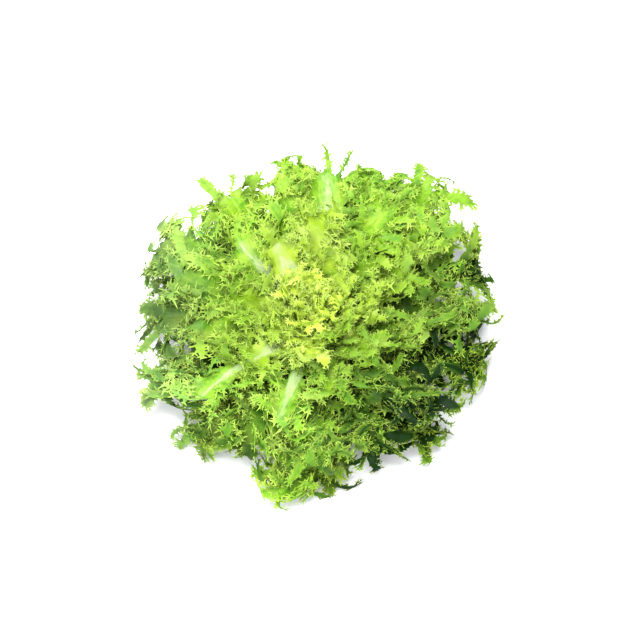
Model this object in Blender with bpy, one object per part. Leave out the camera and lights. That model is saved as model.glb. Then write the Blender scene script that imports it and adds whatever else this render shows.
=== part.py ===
"""Curly endive head: one crown stub and a spiral of frilly leaves around it, at rest on its cut face.

Every leaf lies on its own surface of a nested family, from upright at the heart to spread and
drooping outside. Two such surfaces never meet, so leaves that cover each other stay clear.
Metres, +Z up. The origin is the centre of the crown's cut face, which stands on the table.
"""

import math
import random

import bmesh
import bpy
from mathutils import Matrix, Vector

# The whole head
LEAF_COUNT = 58
SPIRAL_STEP = math.radians(137.508)  # golden angle between one leaf and the next
DOME_RADIUS = 0.146  # of the leaf tips, round the widest part
DOME_RISE = 0.095  # of the tips, from the widest part to the top
DOME_WAIST = 0.0415  # height of the widest part
HEART_DIP = 0.024  # how far the youngest leaves stay below the dome
HEART_SPREAD = math.radians(24)
LAST_TIP_ANGLE = math.radians(115)  # from the top of the dome to the oldest leaf's tip
LEAN = math.radians(7)  # the leafy part leans towards -Y
LEAN_HEIGHT = 0.085
BACK_RISE = 0.18  # share by which the leaves on the +Y side stand taller, and the others lower
OVAL = 0.030  # how far the outline is from a circle
LONG_WAY = math.radians(20)  # the direction in which the outline is longest

# The crown, which the leaves grow from
CUT_RADIUS = 0.0165
NECK_RADIUS = 0.0215
NECK_HEIGHT = 0.009
APEX_RADIUS = 0.003
APEX_HEIGHT = 0.046
CROWN_SEGMENTS = 28
CROWN_RINGS = 7
LEAF_SEAT_GAP = 0.0014  # from the crown's skin to the middle of a leaf's base

# How a leaf leaves the crown and arrives at the dome, for the youngest and for the oldest leaf
RISE_ANGLE = (math.radians(88), math.radians(22))
TIP_DIRECTION = (math.radians(84), math.radians(-78))
RISE_REACH = 0.42  # share of the leaf's reach for which it keeps its first direction
TIP_REACH = 0.36

# One leaf
STATIONS = 11
COLUMNS = 5
PETIOLE_HALF_WIDTH = (0.0026, 0.0056)  # of the youngest and of the oldest leaf
BLADE_HALF_WIDTH = (0.013, 0.034)
LOBE_DEPTH = 0.16  # share of the half width that every second station draws in
WAVE = 0.75  # how far a margin waves, counted in leaves
RIB_THICKNESS = (0.0012, 0.0030)
MARGIN_THICKNESS_SHARE = 0.34
WIDEST = 0.62  # share of the way to the tip at which the blade is widest
TIP_WIDTH_LOSS = 0.72  # share of the width that is gone at the tip

# name, number of leaves from the heart outwards, colour, roughness
WHORLS = (
    ("heart_leaf", 8, (0.78, 0.80, 0.20), 0.50),
    ("inner_leaf", 14, (0.55, 0.74, 0.13), 0.50),
    ("middle_leaf", 18, (0.30, 0.55, 0.06), 0.48),
    ("outer_leaf", 18, (0.12, 0.30, 0.04), 0.46),
)
CROWN_COLOUR = (0.80, 0.78, 0.55)
CROWN_ROUGHNESS = 0.6


def blend(pair, share):
    """The value a share of the way from the youngest leaf's to the oldest leaf's."""
    return pair[0] + (pair[1] - pair[0]) * share


def smooth(low, high, value):
    """0 below low, 1 above high, and a smooth step between."""
    share = min(1.0, max(0.0, (value - low) / (high - low)))
    return share * share * (3 - 2 * share)


def seat(age):
    """Radius and height on the crown where a leaf of this age (0 heart, 1 outside) grows."""
    radius = APEX_RADIUS + (NECK_RADIUS - APEX_RADIUS) * age**0.75
    height = APEX_HEIGHT - (APEX_HEIGHT - NECK_HEIGHT) * age**0.9
    return Vector((radius, height))


def direction(angle):
    return Vector((math.cos(angle), math.sin(angle)))


def midrib(age, along):
    """Radius and height of the midrib a share along of its way from the crown to the tip."""
    tip_angle = LAST_TIP_ANGLE * age**1.15
    dip = HEART_DIP * math.exp(-((tip_angle / HEART_SPREAD) ** 2))
    tip = Vector(
        (
            0.004 + DOME_RADIUS * math.sin(tip_angle),
            DOME_WAIST + DOME_RISE * math.cos(tip_angle) - dip,
        )
    )
    base = seat(age)
    rise = direction(blend(RISE_ANGLE, age**1.2))
    droop = direction(blend(TIP_DIRECTION, age**0.9))
    reach = (tip - base).length
    first = base + rise * reach * RISE_REACH
    second = tip - droop * reach * TIP_REACH
    back = 1 - along
    return (
        base * back**3
        + first * 3 * along * back**2
        + second * 3 * along**2 * back
        + tip * along**3
    )


def lean(point):
    """Leans and slightly ovals the leafy part, and leaves the cut face where it is."""
    radius = math.hypot(point.x, point.y)
    around = math.atan2(point.y, point.x)
    oval = 1 + OVAL * math.cos(2 * (around - LONG_WAY)) * smooth(0.02, 0.08, radius)
    rise = 1 + BACK_RISE * point.y / DOME_RADIUS
    turn = Matrix.Rotation(LEAN * smooth(0, LEAN_HEIGHT, point.z), 3, "X")
    return turn @ Vector((point.x * oval, point.y * oval, point.z * rise))


def half_width(age, along):
    """Half width of the blade, narrow at the petiole and rounded at the tip."""
    petiole = blend(PETIOLE_HALF_WIDTH, age)
    blade = blend(BLADE_HALF_WIDTH, smooth(0, 0.55, age))
    past = max(0.0, along - WIDEST) / (1 - WIDEST)
    spread = smooth(0.10, WIDEST, along) * (1 - TIP_WIDTH_LOSS * past**2)
    return petiole + (blade - petiole) * spread


def leaf_sheet(name, index):
    """The leaf's middle surface, with the rib's thickness as a vertex group."""
    draw = random.Random(4000 + index)
    age = index / (LEAF_COUNT - 1)
    around = index * SPIRAL_STEP + math.radians(draw.uniform(-5, 5))
    sway = math.radians(draw.uniform(-7, 7))
    length = draw.uniform(0.92, 1.04)
    phase = draw.uniform(0, math.tau)

    mesh = bpy.data.meshes.new(name)
    leaf = bpy.data.objects.new(name, mesh)
    bpy.context.collection.objects.link(leaf)
    rib = leaf.vertex_groups.new(name="rib")

    shape = bmesh.new()
    weights = shape.verts.layers.deform.verify()
    rows = []
    for station in range(STATIONS):
        along = station / (STATIONS - 1) * length
        free = smooth(0.2, 0.6, along)
        width = half_width(age, along) * (1 - LOBE_DEPTH * (station % 2) * free)
        row = []
        for column in range(COLUMNS):
            across = 2 * column / (COLUMNS - 1) - 1
            wave = WAVE * free * across**2 * math.sin(station * 2.2 + across * 1.9 + phase)
            level = min(1.0, max(0.0, age + wave / (LEAF_COUNT - 1)))
            radius, height = midrib(level, along)
            turn = around + sway * along**2 + across * width / max(radius, width)
            point = Vector((radius * math.cos(turn), radius * math.sin(turn), height))
            vert = shape.verts.new(lean(point))
            vert[weights][rib.index] = 1 - smooth(0, 0.55, abs(across)) * smooth(0, 0.3, along)
            row.append(vert)
        rows.append(row)
    for lower, upper in zip(rows, rows[1:]):
        for column in range(COLUMNS - 1):
            shape.faces.new(
                (lower[column], lower[column + 1], upper[column + 1], upper[column])
            )
    shape.to_mesh(mesh)
    shape.free()
    return leaf, age


def thicken(leaf, age):
    """Gives the sheet its thickness, thickest along the rib."""
    solid = leaf.modifiers.new("thickness", "SOLIDIFY")
    solid.thickness = blend(RIB_THICKNESS, age)
    solid.offset = 0
    solid.vertex_group = "rib"
    solid.thickness_vertex_group = MARGIN_THICKNESS_SHARE


def make_crown():
    """The stub: a cut face, a neck, and a cone up to the youngest leaves, turned round the axis."""
    profile = [Vector((CUT_RADIUS, 0)), Vector((NECK_RADIUS - LEAF_SEAT_GAP, 0.004))]
    for ring in range(CROWN_RINGS):
        age = 1 - ring / (CROWN_RINGS - 1)
        profile.append(seat(age) - Vector((LEAF_SEAT_GAP, 0)))
    mesh = bpy.data.meshes.new("crown")
    shape = bmesh.new()
    rings = []
    for radius, height in profile:
        turns = [math.tau * step / CROWN_SEGMENTS for step in range(CROWN_SEGMENTS)]
        rings.append(
            [
                shape.verts.new(
                    lean(Vector((radius * math.cos(turn), radius * math.sin(turn), height)))
                )
                for turn in turns
            ]
        )
    for lower, upper in zip(rings, rings[1:]):
        for step in range(CROWN_SEGMENTS):
            after = (step + 1) % CROWN_SEGMENTS
            shape.faces.new((lower[step], lower[after], upper[after], upper[step]))
    shape.faces.new(reversed(rings[0]))
    shape.faces.new(rings[-1])
    shape.to_mesh(mesh)
    shape.free()
    crown = bpy.data.objects.new("crown", mesh)
    bpy.context.collection.objects.link(crown)
    return crown


def finish(obj, colour, roughness):
    """One Principled material for the piece, and smooth shading."""
    material = bpy.data.materials.new(obj.name)
    material.use_nodes = True
    surface = material.node_tree.nodes["Principled BSDF"]
    surface.inputs["Base Color"].default_value = (*colour, 1)
    surface.inputs["Roughness"].default_value = roughness
    surface.inputs["Metallic"].default_value = 0
    obj.data.materials.append(material)
    obj.data.shade_smooth()


def main():
    for obj in list(bpy.data.objects):
        bpy.data.objects.remove(obj)
    finish(make_crown(), CROWN_COLOUR, CROWN_ROUGHNESS)
    index = 0
    for whorl, count, colour, roughness in WHORLS:
        for number in range(1, count + 1):
            leaf, age = leaf_sheet(f"{whorl}_{number:02d}", index)
            thicken(leaf, age)
            finish(leaf, colour, roughness)
            index += 1


main()
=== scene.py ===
"""Curly endive head: frilly leaves and a cut crown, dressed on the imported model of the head.

Each leaf is grown flat, as a rib with a web, lobes on the web and toothed fans on the lobes, and is
then laid on the surface that its solid follows. Metres, +Z up, the cut face of the crown at the origin.
Ages run from 0 for the youngest leaf to 1 for the oldest, and a pair that is blended by age is for those two.
"""

import logging
import math
import random
from dataclasses import dataclass, field
from enum import Enum

import bpy
import numpy as np
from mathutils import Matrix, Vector


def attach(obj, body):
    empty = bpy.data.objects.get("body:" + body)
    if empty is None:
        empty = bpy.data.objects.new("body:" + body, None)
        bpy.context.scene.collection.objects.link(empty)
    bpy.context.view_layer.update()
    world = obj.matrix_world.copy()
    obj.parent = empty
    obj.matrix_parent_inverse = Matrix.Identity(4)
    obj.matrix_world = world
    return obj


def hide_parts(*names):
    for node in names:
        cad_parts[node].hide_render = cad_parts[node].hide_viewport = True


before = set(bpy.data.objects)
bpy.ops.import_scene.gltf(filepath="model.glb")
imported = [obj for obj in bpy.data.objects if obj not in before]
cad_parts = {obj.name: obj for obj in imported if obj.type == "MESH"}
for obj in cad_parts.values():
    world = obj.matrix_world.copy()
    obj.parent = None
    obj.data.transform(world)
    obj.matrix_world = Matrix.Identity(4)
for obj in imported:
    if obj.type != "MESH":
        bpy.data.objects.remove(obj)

log = logging.getLogger("curly_endive")

Array = np.ndarray
Values = np.ndarray | float
Colour = tuple[float, float, float]
Pair = tuple[float, float]
Row = tuple[float, ...]
Tree = bpy.types.NodeTree
Socket = bpy.types.NodeSocket
Material = bpy.types.Material


class Whorl(Enum):
    """The four ages of leaves, from the heart outwards, by the name of their nodes and slot."""

    HEART = "heart_leaf"
    INNER = "inner_leaf"
    MIDDLE = "middle_leaf"
    OUTER = "outer_leaf"


LEAVES_IN_WHORL = {Whorl.HEART: 8, Whorl.INNER: 14, Whorl.MIDDLE: 18, Whorl.OUTER: 18}


# ---------------------------------------------------------------- small sums


def smooth(low: float, high: float, value: Values) -> Array:
    """A smooth step, from 0 at low to 1 at high."""
    share = np.clip((value - low) / (high - low), 0.0, 1.0)
    return share * share * (3 - 2 * share)


def angles(*degrees: float) -> Row:
    """Some angles in radians."""
    return tuple(math.radians(value) for value in degrees)


def blend(pair: Pair, share: Values) -> Values:
    """The value a share of the way from a pair's first number to its second."""
    return pair[0] + (pair[1] - pair[0]) * share


def line(pair: Pair, share: Values) -> Values:
    """A pair's first number plus a share of its second."""
    return pair[0] + pair[1] * share


def unit(vectors: Array) -> Array:
    """The same directions with length 1."""
    return vectors / np.maximum(np.linalg.norm(vectors, axis=-1, keepdims=True), 1e-12)


def turned(first: Array, second: Array, angle: Array) -> tuple[Array, Array]:
    """Turns two directions that are square to each other, the first towards the second."""
    cos, sin = np.cos(angle)[:, None], np.sin(angle)[:, None]
    return first * cos + second * sin, second * cos - first * sin


def mirrored(*half: float) -> Array:
    """A row of numbers from a margin to the rib, and back to the other margin."""
    return np.array([*half, *half[-2::-1]])


# ---------------------------------------------------------------- how the head grows


@dataclass(frozen=True)
class GrowthLaw:
    """Where a leaf of any age leaves the crown and where its tip arrives on the dome of the head."""

    leaf_count: int = 58
    spiral_step: float = math.radians(137.508)
    dome_radius: float = 0.146
    dome_rise: float = 0.095
    dome_waist: float = 0.0415
    heart_dip: float = 0.024
    heart_spread: float = math.radians(24)
    heart_radius: float = 0.004
    last_tip_angle: float = math.radians(115)
    tip_power: float = 1.15  # of the age, like the other powers
    lean: float = math.radians(7)
    lean_height: float = 0.085
    back_rise: float = 0.18
    oval: float = 0.030
    oval_starts: Pair = (0.02, 0.08)
    long_way: float = math.radians(20)
    # Painted shade: the side of the head away from the light, and its inside, are painted darker.
    dark_sides: tuple[Pair, ...] = ((-28, 1.0), (-146, 0.66))  # sides of the head painted darker as shade: degrees round the axis, and how dark
    darkens: Pair = (0.12, 0.74)  # share of the dome's radius towards that side, from light to dark
    dark_heights: Pair = (0.058, 0.128)  # the painted shade is lighter above these heights
    dark_ages: Pair = (0.20, 0.55)
    high_side: float = 0.75  # share of the painted shade that is gone up there, on the dark side
    high_inside: float = 0.45  # and inside the head
    skirt: Pair = (0.130, 0.152)  # distances from the axis over which the painted shade on the dark side grows lighter again
    skirt_light: float = 0.50
    buried: Pair = (0.62, 0.90)  # share of the way out to the dome, from shaded to lit
    buried_ages: Pair = (0.25, 0.55)
    buried_shade: Pair = (0.55, 1.0)  # painted shade inside the head: away from the dark side and towards it
    frill_reach: Pair = (0.133, 0.153)  # frills bend in between these distances from the axis
    corner_starts: Pair = (0.05, 0.12)
    corners: tuple[Row, ...] = (  # direction and width in degrees, extra reach
        (42, 20, 0.080),
        (143, 16, 0.070),
        (-101, 9, 0.075),
        (-119, 6, -0.085),
        (-66, 8, -0.060),
        (-158, 9, 0.060),
        (-134, 7, -0.060),
        (17, 6, -0.060),
        (-15, 6, -0.055),
    )
    open_leaves: tuple[tuple[int, float], ...] = (  # leaves with a bare rib, and how stout it is
        (14, 3.0),
        (20, 1.4),
        (22, 1.8),
        (28, 1.25),
        (32, 2.6),
        (33, 0.8),
    )
    seat_radius: Pair = (0.003, 0.0215)
    seat_height: Pair = (0.046, 0.009)
    seat_powers: Pair = (0.75, 0.9)
    rise_angle: Pair = angles(88, 22)
    rise_power: float = 1.2
    rise_reach: float = 0.42
    tip_direction: Pair = angles(84, -78)
    droop_power: float = 0.9
    tip_reach: float = 0.36
    petiole_half: Pair = (0.0026, 0.0056)
    blade_half: Pair = (0.013, 0.034)
    full_age: float = 0.55  # from which leaves have their full width
    widest: float = 0.62
    spreads: float = 0.10  # share of the leaf where its blade starts
    tip_width_loss: float = 0.72

    def seat(self, age: float) -> Array:
        """Radius and height on the crown where a leaf of this age grows."""
        out, up = self.seat_powers
        return np.array([blend(self.seat_radius, age**out), blend(self.seat_height, age**up)])

    def midrib(self, age: float, along: Array) -> Array:
        """The path of a leaf's midrib.

        Args:
            age: The leaf's age.
            along: Shares of the way from the crown to the dome.

        Returns:
            A radius and a height for each share.
        """
        tip_angle = self.last_tip_angle * age**self.tip_power
        dip = self.heart_dip * math.exp(-((tip_angle / self.heart_spread) ** 2))
        across = self.heart_radius + self.dome_radius * math.sin(tip_angle)
        tip = np.array([across, self.dome_waist + self.dome_rise * math.cos(tip_angle) - dip])
        base = self.seat(age)
        rise = blend(self.rise_angle, age**self.rise_power)
        droop = blend(self.tip_direction, age**self.droop_power)
        reach = float(np.linalg.norm(tip - base))
        first = base + np.array([math.cos(rise), math.sin(rise)]) * reach * self.rise_reach
        second = tip - np.array([math.cos(droop), math.sin(droop)]) * reach * self.tip_reach
        there = along[:, None]
        back = 1 - there
        curve = base * back**3 + first * 3 * there * back**2
        return curve + second * 3 * there**2 * back + tip * there**3

    def half_width(self, age: float, along: Array) -> Array:
        """Half the width of a leaf's solid.

        Args:
            age: The leaf's age.
            along: Shares of the way along it.

        Returns:
            A half width for each share.
        """
        petiole = blend(self.petiole_half, age)
        blade = blend(self.blade_half, smooth(0, self.full_age, age))
        past = np.maximum(0.0, along - self.widest) / (1 - self.widest)
        spread = smooth(self.spreads, self.widest, along) * (1 - self.tip_width_loss * past**2)
        return petiole + (blade - petiole) * spread

    def shade(self, points: Array, age: float) -> Array:
        """Painted shade on a leaf's tissue, on the dark side of the head and inside it.

        Args:
            points: Places in the head.
            age: The leaf's age.

        Returns:
            A number from 0 to 1 for each place.
        """
        x, y, z = points.T
        side = np.zeros_like(x)
        for degrees, strength in self.dark_sides:
            turn = math.radians(degrees)
            towards = (x * math.cos(turn) + y * math.sin(turn)) / self.dome_radius
            side = np.maximum(side, strength * smooth(*self.darkens, towards))
        above = np.maximum(z - self.dome_waist, 0) / self.dome_rise
        outside = smooth(*self.buried, np.hypot(np.hypot(x, y) / self.dome_radius, above))
        high = smooth(*self.dark_heights, z)
        inside = blend(self.buried_shade, side) * (1 - outside) * (1 - self.high_inside * high)
        skirt = 1 - self.skirt_light * smooth(*self.skirt, np.hypot(x, y))
        side = side * (1 - self.high_side * high) * skirt * smooth(*self.dark_ages, age)
        return np.maximum(side, inside * smooth(*self.buried_ages, age))

    def outline(self, turn: Array, radius: Array) -> Array:
        """Keeps frills within the head's round outline, and gives that outline its corners.

        Args:
            turn: Directions round the axis.
            radius: Distances from the axis.

        Returns:
            The distances that leaves and frills have.
        """
        start, end = self.frill_reach
        past = np.maximum(radius - start, 0)
        radius = np.minimum(radius, start) + (end - start) * np.tanh(past / (end - start))
        more = np.zeros_like(turn)
        for degrees, width, extra in self.corners:
            apart = (turn - math.radians(degrees) + math.pi) % math.tau - math.pi
            more = more + extra * np.exp(-((apart / math.radians(width)) ** 2))
        return radius * (1 + more * smooth(*self.corner_starts, radius))

    def leaned(self, points: Array) -> Array:
        """Leans the head towards -Y, raises its back and makes its outline slightly oval.

        Args:
            points: Places in an upright, round head.

        Returns:
            The same places in this head.
        """
        x, y, z = points.T
        long_way = np.cos(2 * (np.arctan2(y, x) - self.long_way))
        oval = 1 + self.oval * long_way * smooth(*self.oval_starts, np.hypot(x, y))
        x, y, z = x * oval, y * oval, z * (1 + self.back_rise * y / self.dome_radius)
        turn = self.lean * smooth(0, self.lean_height, points[:, 2])
        back, up = y * np.cos(turn) - z * np.sin(turn), y * np.sin(turn) + z * np.cos(turn)
        return np.stack([x, back, up], 1)


class LeafChart:
    """Lays flat leaf coordinates on the surface that one leaf follows through the head.

    A flat place is its run from the crown, its distance to the side of the midrib and its rise above
    the leaf's upper face, all in metres.
    """

    seed = 4000
    off_spiral = 5.0  # degrees, at most
    sways = 7.0  # degrees, at most
    lengths: Pair = (0.92, 1.04)  # of the way to the dome
    samples = 160
    table_margin = 0.004  # below this height, leaves are pressed flat by the table
    table_gap = 0.0006
    tallest_rise = 0.012
    near_axis: Pair = (0.002, 0.8)  # a place rises no more than this plus this share of its radius
    comes_free: Pair = (0.25, 0.8)  # share of the leaf, from straight to curved
    sinks: Pair = (0.3, 0.8)  # share of the leaf, from its solid's face to inside its solid
    sunk: Pair = (0.001, 0.005)  # how far inside, to leave room for frills
    cup: Pair = (0.30, -0.16)  # rise of the margins, as a share of the half width
    cup_varies = 0.10
    cup_limit = 1.6  # of the rise beyond the margins, as a multiple of the margins' own
    wander: Pair = (0.0015, 0.0060)  # of the midrib from side to side
    wander_turns = 5.5

    def __init__(self, law: GrowthLaw, index: int) -> None:
        """Draws this leaf's own differences, in the order in which its solid drew them.

        Args:
            law: How the head grows.
            index: The leaf's place in the spiral, from the heart.
        """
        draw = random.Random(self.seed + index)
        self.law = law
        self.index = index
        self.age = index / (law.leaf_count - 1)
        off = math.radians(draw.uniform(-self.off_spiral, self.off_spiral))
        self.around = index * law.spiral_step + off
        self.sway = math.radians(draw.uniform(-self.sways, self.sways))
        self.along = np.linspace(0, draw.uniform(*self.lengths), self.samples)
        self.path = law.midrib(self.age, self.along)
        steps = np.linalg.norm(np.diff(self.path, axis=0), axis=1)
        self.run = np.concatenate([[0.0], np.cumsum(steps)])
        self.heading = unit(np.gradient(self.path, self.run, axis=0))
        self.bends = draw.uniform(-1, 1), draw.uniform(0, math.tau), draw.uniform(-1, 1)
        self.facing = math.cos(self.around + self.sway - math.radians(law.dark_sides[0][0]))
        self.dark_side = max(self.facing, 0.0)  # 1 straight to the dark side, 0 away from it
        self.stout = dict(law.open_leaves).get(index, 0.0)

    @property
    def is_open(self) -> bool:
        """Whether the leaf's rib lies bare."""
        return self.stout > 0

    @property
    def length(self) -> float:
        """The run from the crown to the leaf's tip."""
        return float(self.run[-1])

    def half_width(self, run: Array) -> Array:
        """Half the width of the leaf's solid at these runs."""
        return self.law.half_width(self.age, np.interp(run, self.run, self.along))

    def place(self, flat: Array) -> Array:
        """Lays flat places on the leaf's surface in the head.

        Args:
            flat: One row of run, side and rise for each place.

        Returns:
            One row of x, y and z for each.
        """
        run, side, rise = flat.T
        on_leaf = np.clip(run, 0, self.length)
        along = np.interp(on_leaf, self.run, self.along)
        radius, height = (np.interp(on_leaf, self.run, column) for column in self.path.T)
        out, up = (np.interp(on_leaf, self.run, column) for column in self.heading.T)
        half = self.law.half_width(self.age, along)
        wide = np.maximum(radius, half)
        bend, phase, curl = self.bends
        free = smooth(*self.comes_free, along)
        aside = free * blend(self.wander, self.age) * bend * np.sin(along * self.wander_turns + phase)
        turn = self.around + self.sway * along**2 + side / wide + aside / wide
        cup = blend(self.cup, self.age) + self.cup_varies * curl
        rise = rise + free * cup * half * np.minimum((side / half) ** 2, self.cup_limit)
        rise = self.tallest_rise * np.tanh(rise / self.tallest_rise)
        rise = rise - blend(self.sunk, self.age) * smooth(*self.sinks, along)
        rise = np.minimum(rise, self.near_axis[1] * radius + self.near_axis[0])
        past = run - on_leaf
        radius, height = radius + past * out - rise * up, height + past * up + rise * out
        radius = self.law.outline(turn, radius)
        points = np.stack([radius * np.cos(turn), radius * np.sin(turn), height], 1)
        points = self.law.leaned(points)
        room = self.table_margin - self.table_gap
        low = np.minimum(points[:, 2], self.table_margin)
        pressed = self.table_gap + room * np.exp((low - self.table_margin) / room)
        points[:, 2] = np.where(points[:, 2] < self.table_margin, pressed, points[:, 2])
        return points


# ---------------------------------------------------------------- growing a blade


class Shoots:
    """Many lobes that grow side by side: where each one has got to, and how it is turned.

    Each shoot also keeps its place and heading on the leaf as if it were pressed flat.
    """

    def __init__(self, at: Array, side: Array, face: Array, pressed: Array, bearing: Array) -> None:
        """Starts shoots across a margin.

        Args:
            at: Where each one starts.
            side: The direction along the margin.
            face: The blade's upper normal.
            pressed: Where it starts on the pressed leaf.
            bearing: Its heading there, as an angle.
        """
        self.at = at
        self.side = unit(side)
        self.face = unit(face - self.side * (face * self.side).sum(1, keepdims=True))
        self.head = np.cross(self.side, self.face)
        self.pressed = pressed
        self.bearing = bearing

    def lift(self, angle: Array) -> None:
        """Turns each heading towards its upper face."""
        self.head, self.face = turned(self.head, self.face, angle)

    def sweep(self, angle: Array) -> None:
        """Turns each heading towards its side."""
        self.head, self.side = turned(self.head, self.side, angle)
        self.bearing = self.bearing + angle

    def roll(self, angle: Array) -> None:
        """Turns each shoot about its heading."""
        self.side, self.face = turned(self.side, self.face, angle)

    def grow(self, step: Array) -> None:
        """Moves each shoot on along its heading."""
        self.at = self.at + self.head * step[:, None]
        self.pressed = self.flat(step, 0)

    def spot(self, along: Values, across: Values, above: Values) -> Array:
        """Places given in each shoot's own directions."""
        out, aside = self.head * np.reshape(along, (-1, 1)), self.side * np.reshape(across, (-1, 1))
        return self.at + out + aside + self.face * np.reshape(above, (-1, 1))

    def flat(self, along: Values, across: Values) -> Array:
        """The same places on the pressed leaf."""
        cos, sin = np.cos(self.bearing), np.sin(self.bearing)
        return self.pressed + np.stack([cos * along - sin * across, sin * along + cos * across], 1)


class Mark(Enum):
    """What a blade keeps for each of its places, besides where it is."""

    ABOVE = 0  # thickness above the place
    BELOW = 1
    VEIN = 2  # 1 on a vein or rib, 0 between them
    RIM = 3  # 1 at the tip of a tooth, 0 well inside the blade
    TONE = 4  # a lobe's own tone
    FLAT_RUN = 5  # place on the pressed leaf
    FLAT_SIDE = 6


@dataclass
class Blade:
    """A leaf's sheet of places and faces, which closes into a thin solid.

    A place with no thickness is a sharp point, where the upper and the lower face meet.
    """

    chart: LeafChart
    rng: np.random.Generator  # the leaf's random numbers
    points: list[Array] = field(default_factory=list)
    marks: list[Array] = field(default_factory=list)
    quads: list[Array] = field(default_factory=list)
    tris: list[Array] = field(default_factory=list)
    count: int = 0

    def either_way(self, size: int | tuple[int, ...], most: float = 1) -> Array:
        """Random numbers from minus the most to the most."""
        return self.rng.uniform(-most, most, size)

    def add(self, places: Array, pressed: Array, *marks: Values) -> Array:
        """Adds places.

        Args:
            places: Run, side and rise, in an array's last axis.
            pressed: Run and side on the pressed leaf, in the same way.
            marks: The thickness above and below, vein, rim and tone, each for all or for every place.

        Returns:
            The places' numbers, in an array of the same shape without the last axis.
        """
        shape = places.shape[:-1]
        columns = [*marks, pressed[..., 0], pressed[..., 1]]
        self.points.append(places.reshape(-1, 3))
        self.marks.append(np.stack([np.broadcast_to(c, shape).reshape(-1) for c in columns], 1))
        numbers = np.arange(self.count, self.count + len(self.points[-1])).reshape(shape)
        self.count += numbers.size
        return numbers

    def at(self, numbers: Array) -> Array:
        """Where some places are."""
        return np.concatenate(self.points)[numbers]

    def mark(self, numbers: Array, which: Mark) -> Array:
        """One of the marks of some places."""
        return np.concatenate(self.marks)[numbers, which.value]

    def pressed(self, numbers: Array) -> Array:
        """Where some places are on the pressed leaf."""
        return np.concatenate(self.marks)[numbers][..., Mark.FLAT_RUN.value :]

    def strip(self, inner: Array, outer: Array) -> None:
        """Joins two rows of places, or many such pairs of rows, with four-sided faces."""
        corners = (inner[..., :-1], outer[..., :-1], outer[..., 1:], inner[..., 1:])
        self.quads.append(np.stack(corners, -1).reshape(-1, 4))

    def fan(self, centre: Array, outline: Array) -> None:
        """Joins each centre to its outline with triangles, all the way round."""
        middle = np.broadcast_to(centre[:, None], outline.shape)
        self.tris.append(np.stack([middle, outline, np.roll(outline, -1, axis=1)], -1).reshape(-1, 3))

    def closed(self) -> tuple[Array, Array, list[Array]]:
        """Lays the sheet in the head and closes it into a thin solid.

        Returns:
            The solid's vertices, their marks with a last one that is 1 below the sheet, and its faces.
        """
        sheet = self.chart.place(np.concatenate(self.points))
        marks = np.concatenate(self.marks)
        quads, tris = np.concatenate(self.quads), np.concatenate(self.tris)
        normals = np.zeros_like(sheet)
        for faces in (quads, tris):
            first, second, third, last = (sheet[faces[:, step]] for step in (0, 1, 2, -1))
            cross = np.cross(third - first, last - second)
            for corner in faces.T:
                np.add.at(normals, corner, cross)
        normals = unit(normals)
        above, below = marks[:, Mark.ABOVE.value, None], marks[:, Mark.BELOW.value, None]
        thick = (above + below)[:, 0] > 0
        under = np.arange(len(sheet))
        under[thick] = len(sheet) + np.arange(thick.sum())
        points = np.concatenate([sheet + normals * above, (sheet - normals * below)[thick]])
        is_below = np.arange(len(points)) >= len(sheet)
        seen = np.column_stack([np.concatenate([marks, marks[thick]]), is_below])
        skins = [quads, tris, under[quads[:, ::-1]], under[tris[:, ::-1]]]
        return points, seen, [*skins, *self.rims(quads, tris, under)]

    @staticmethod
    def rims(quads: Array, tris: Array, under: Array) -> list[Array]:
        """The narrow faces that join the upper and the lower skin along every margin.

        Args:
            quads: The sheet's four-sided faces.
            tris: Its triangles.
            under: The number of the place below each place, or its own where the two meet.

        Returns:
            Faces of four and of three corners.
        """
        loops = [np.stack([f, np.roll(f, -1, axis=1)], -1).reshape(-1, 2) for f in (quads, tris)]
        edges = np.concatenate(loops)
        size = len(under)
        codes, back = edges[:, 0] * size + edges[:, 1], edges[:, 1] * size + edges[:, 0]
        start, end = edges[~np.isin(codes, back)].T
        open_start, open_end = under[start] != start, under[end] != end
        both, first, last = open_start & open_end, open_start & ~open_end, ~open_start & open_end
        return [
            np.stack([end[both], start[both], under[start[both]], under[end[both]]], 1),
            np.stack([end[first], start[first], under[start[first]]], 1),
            np.stack([end[last], start[last], under[end[last]]], 1),
        ]


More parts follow.
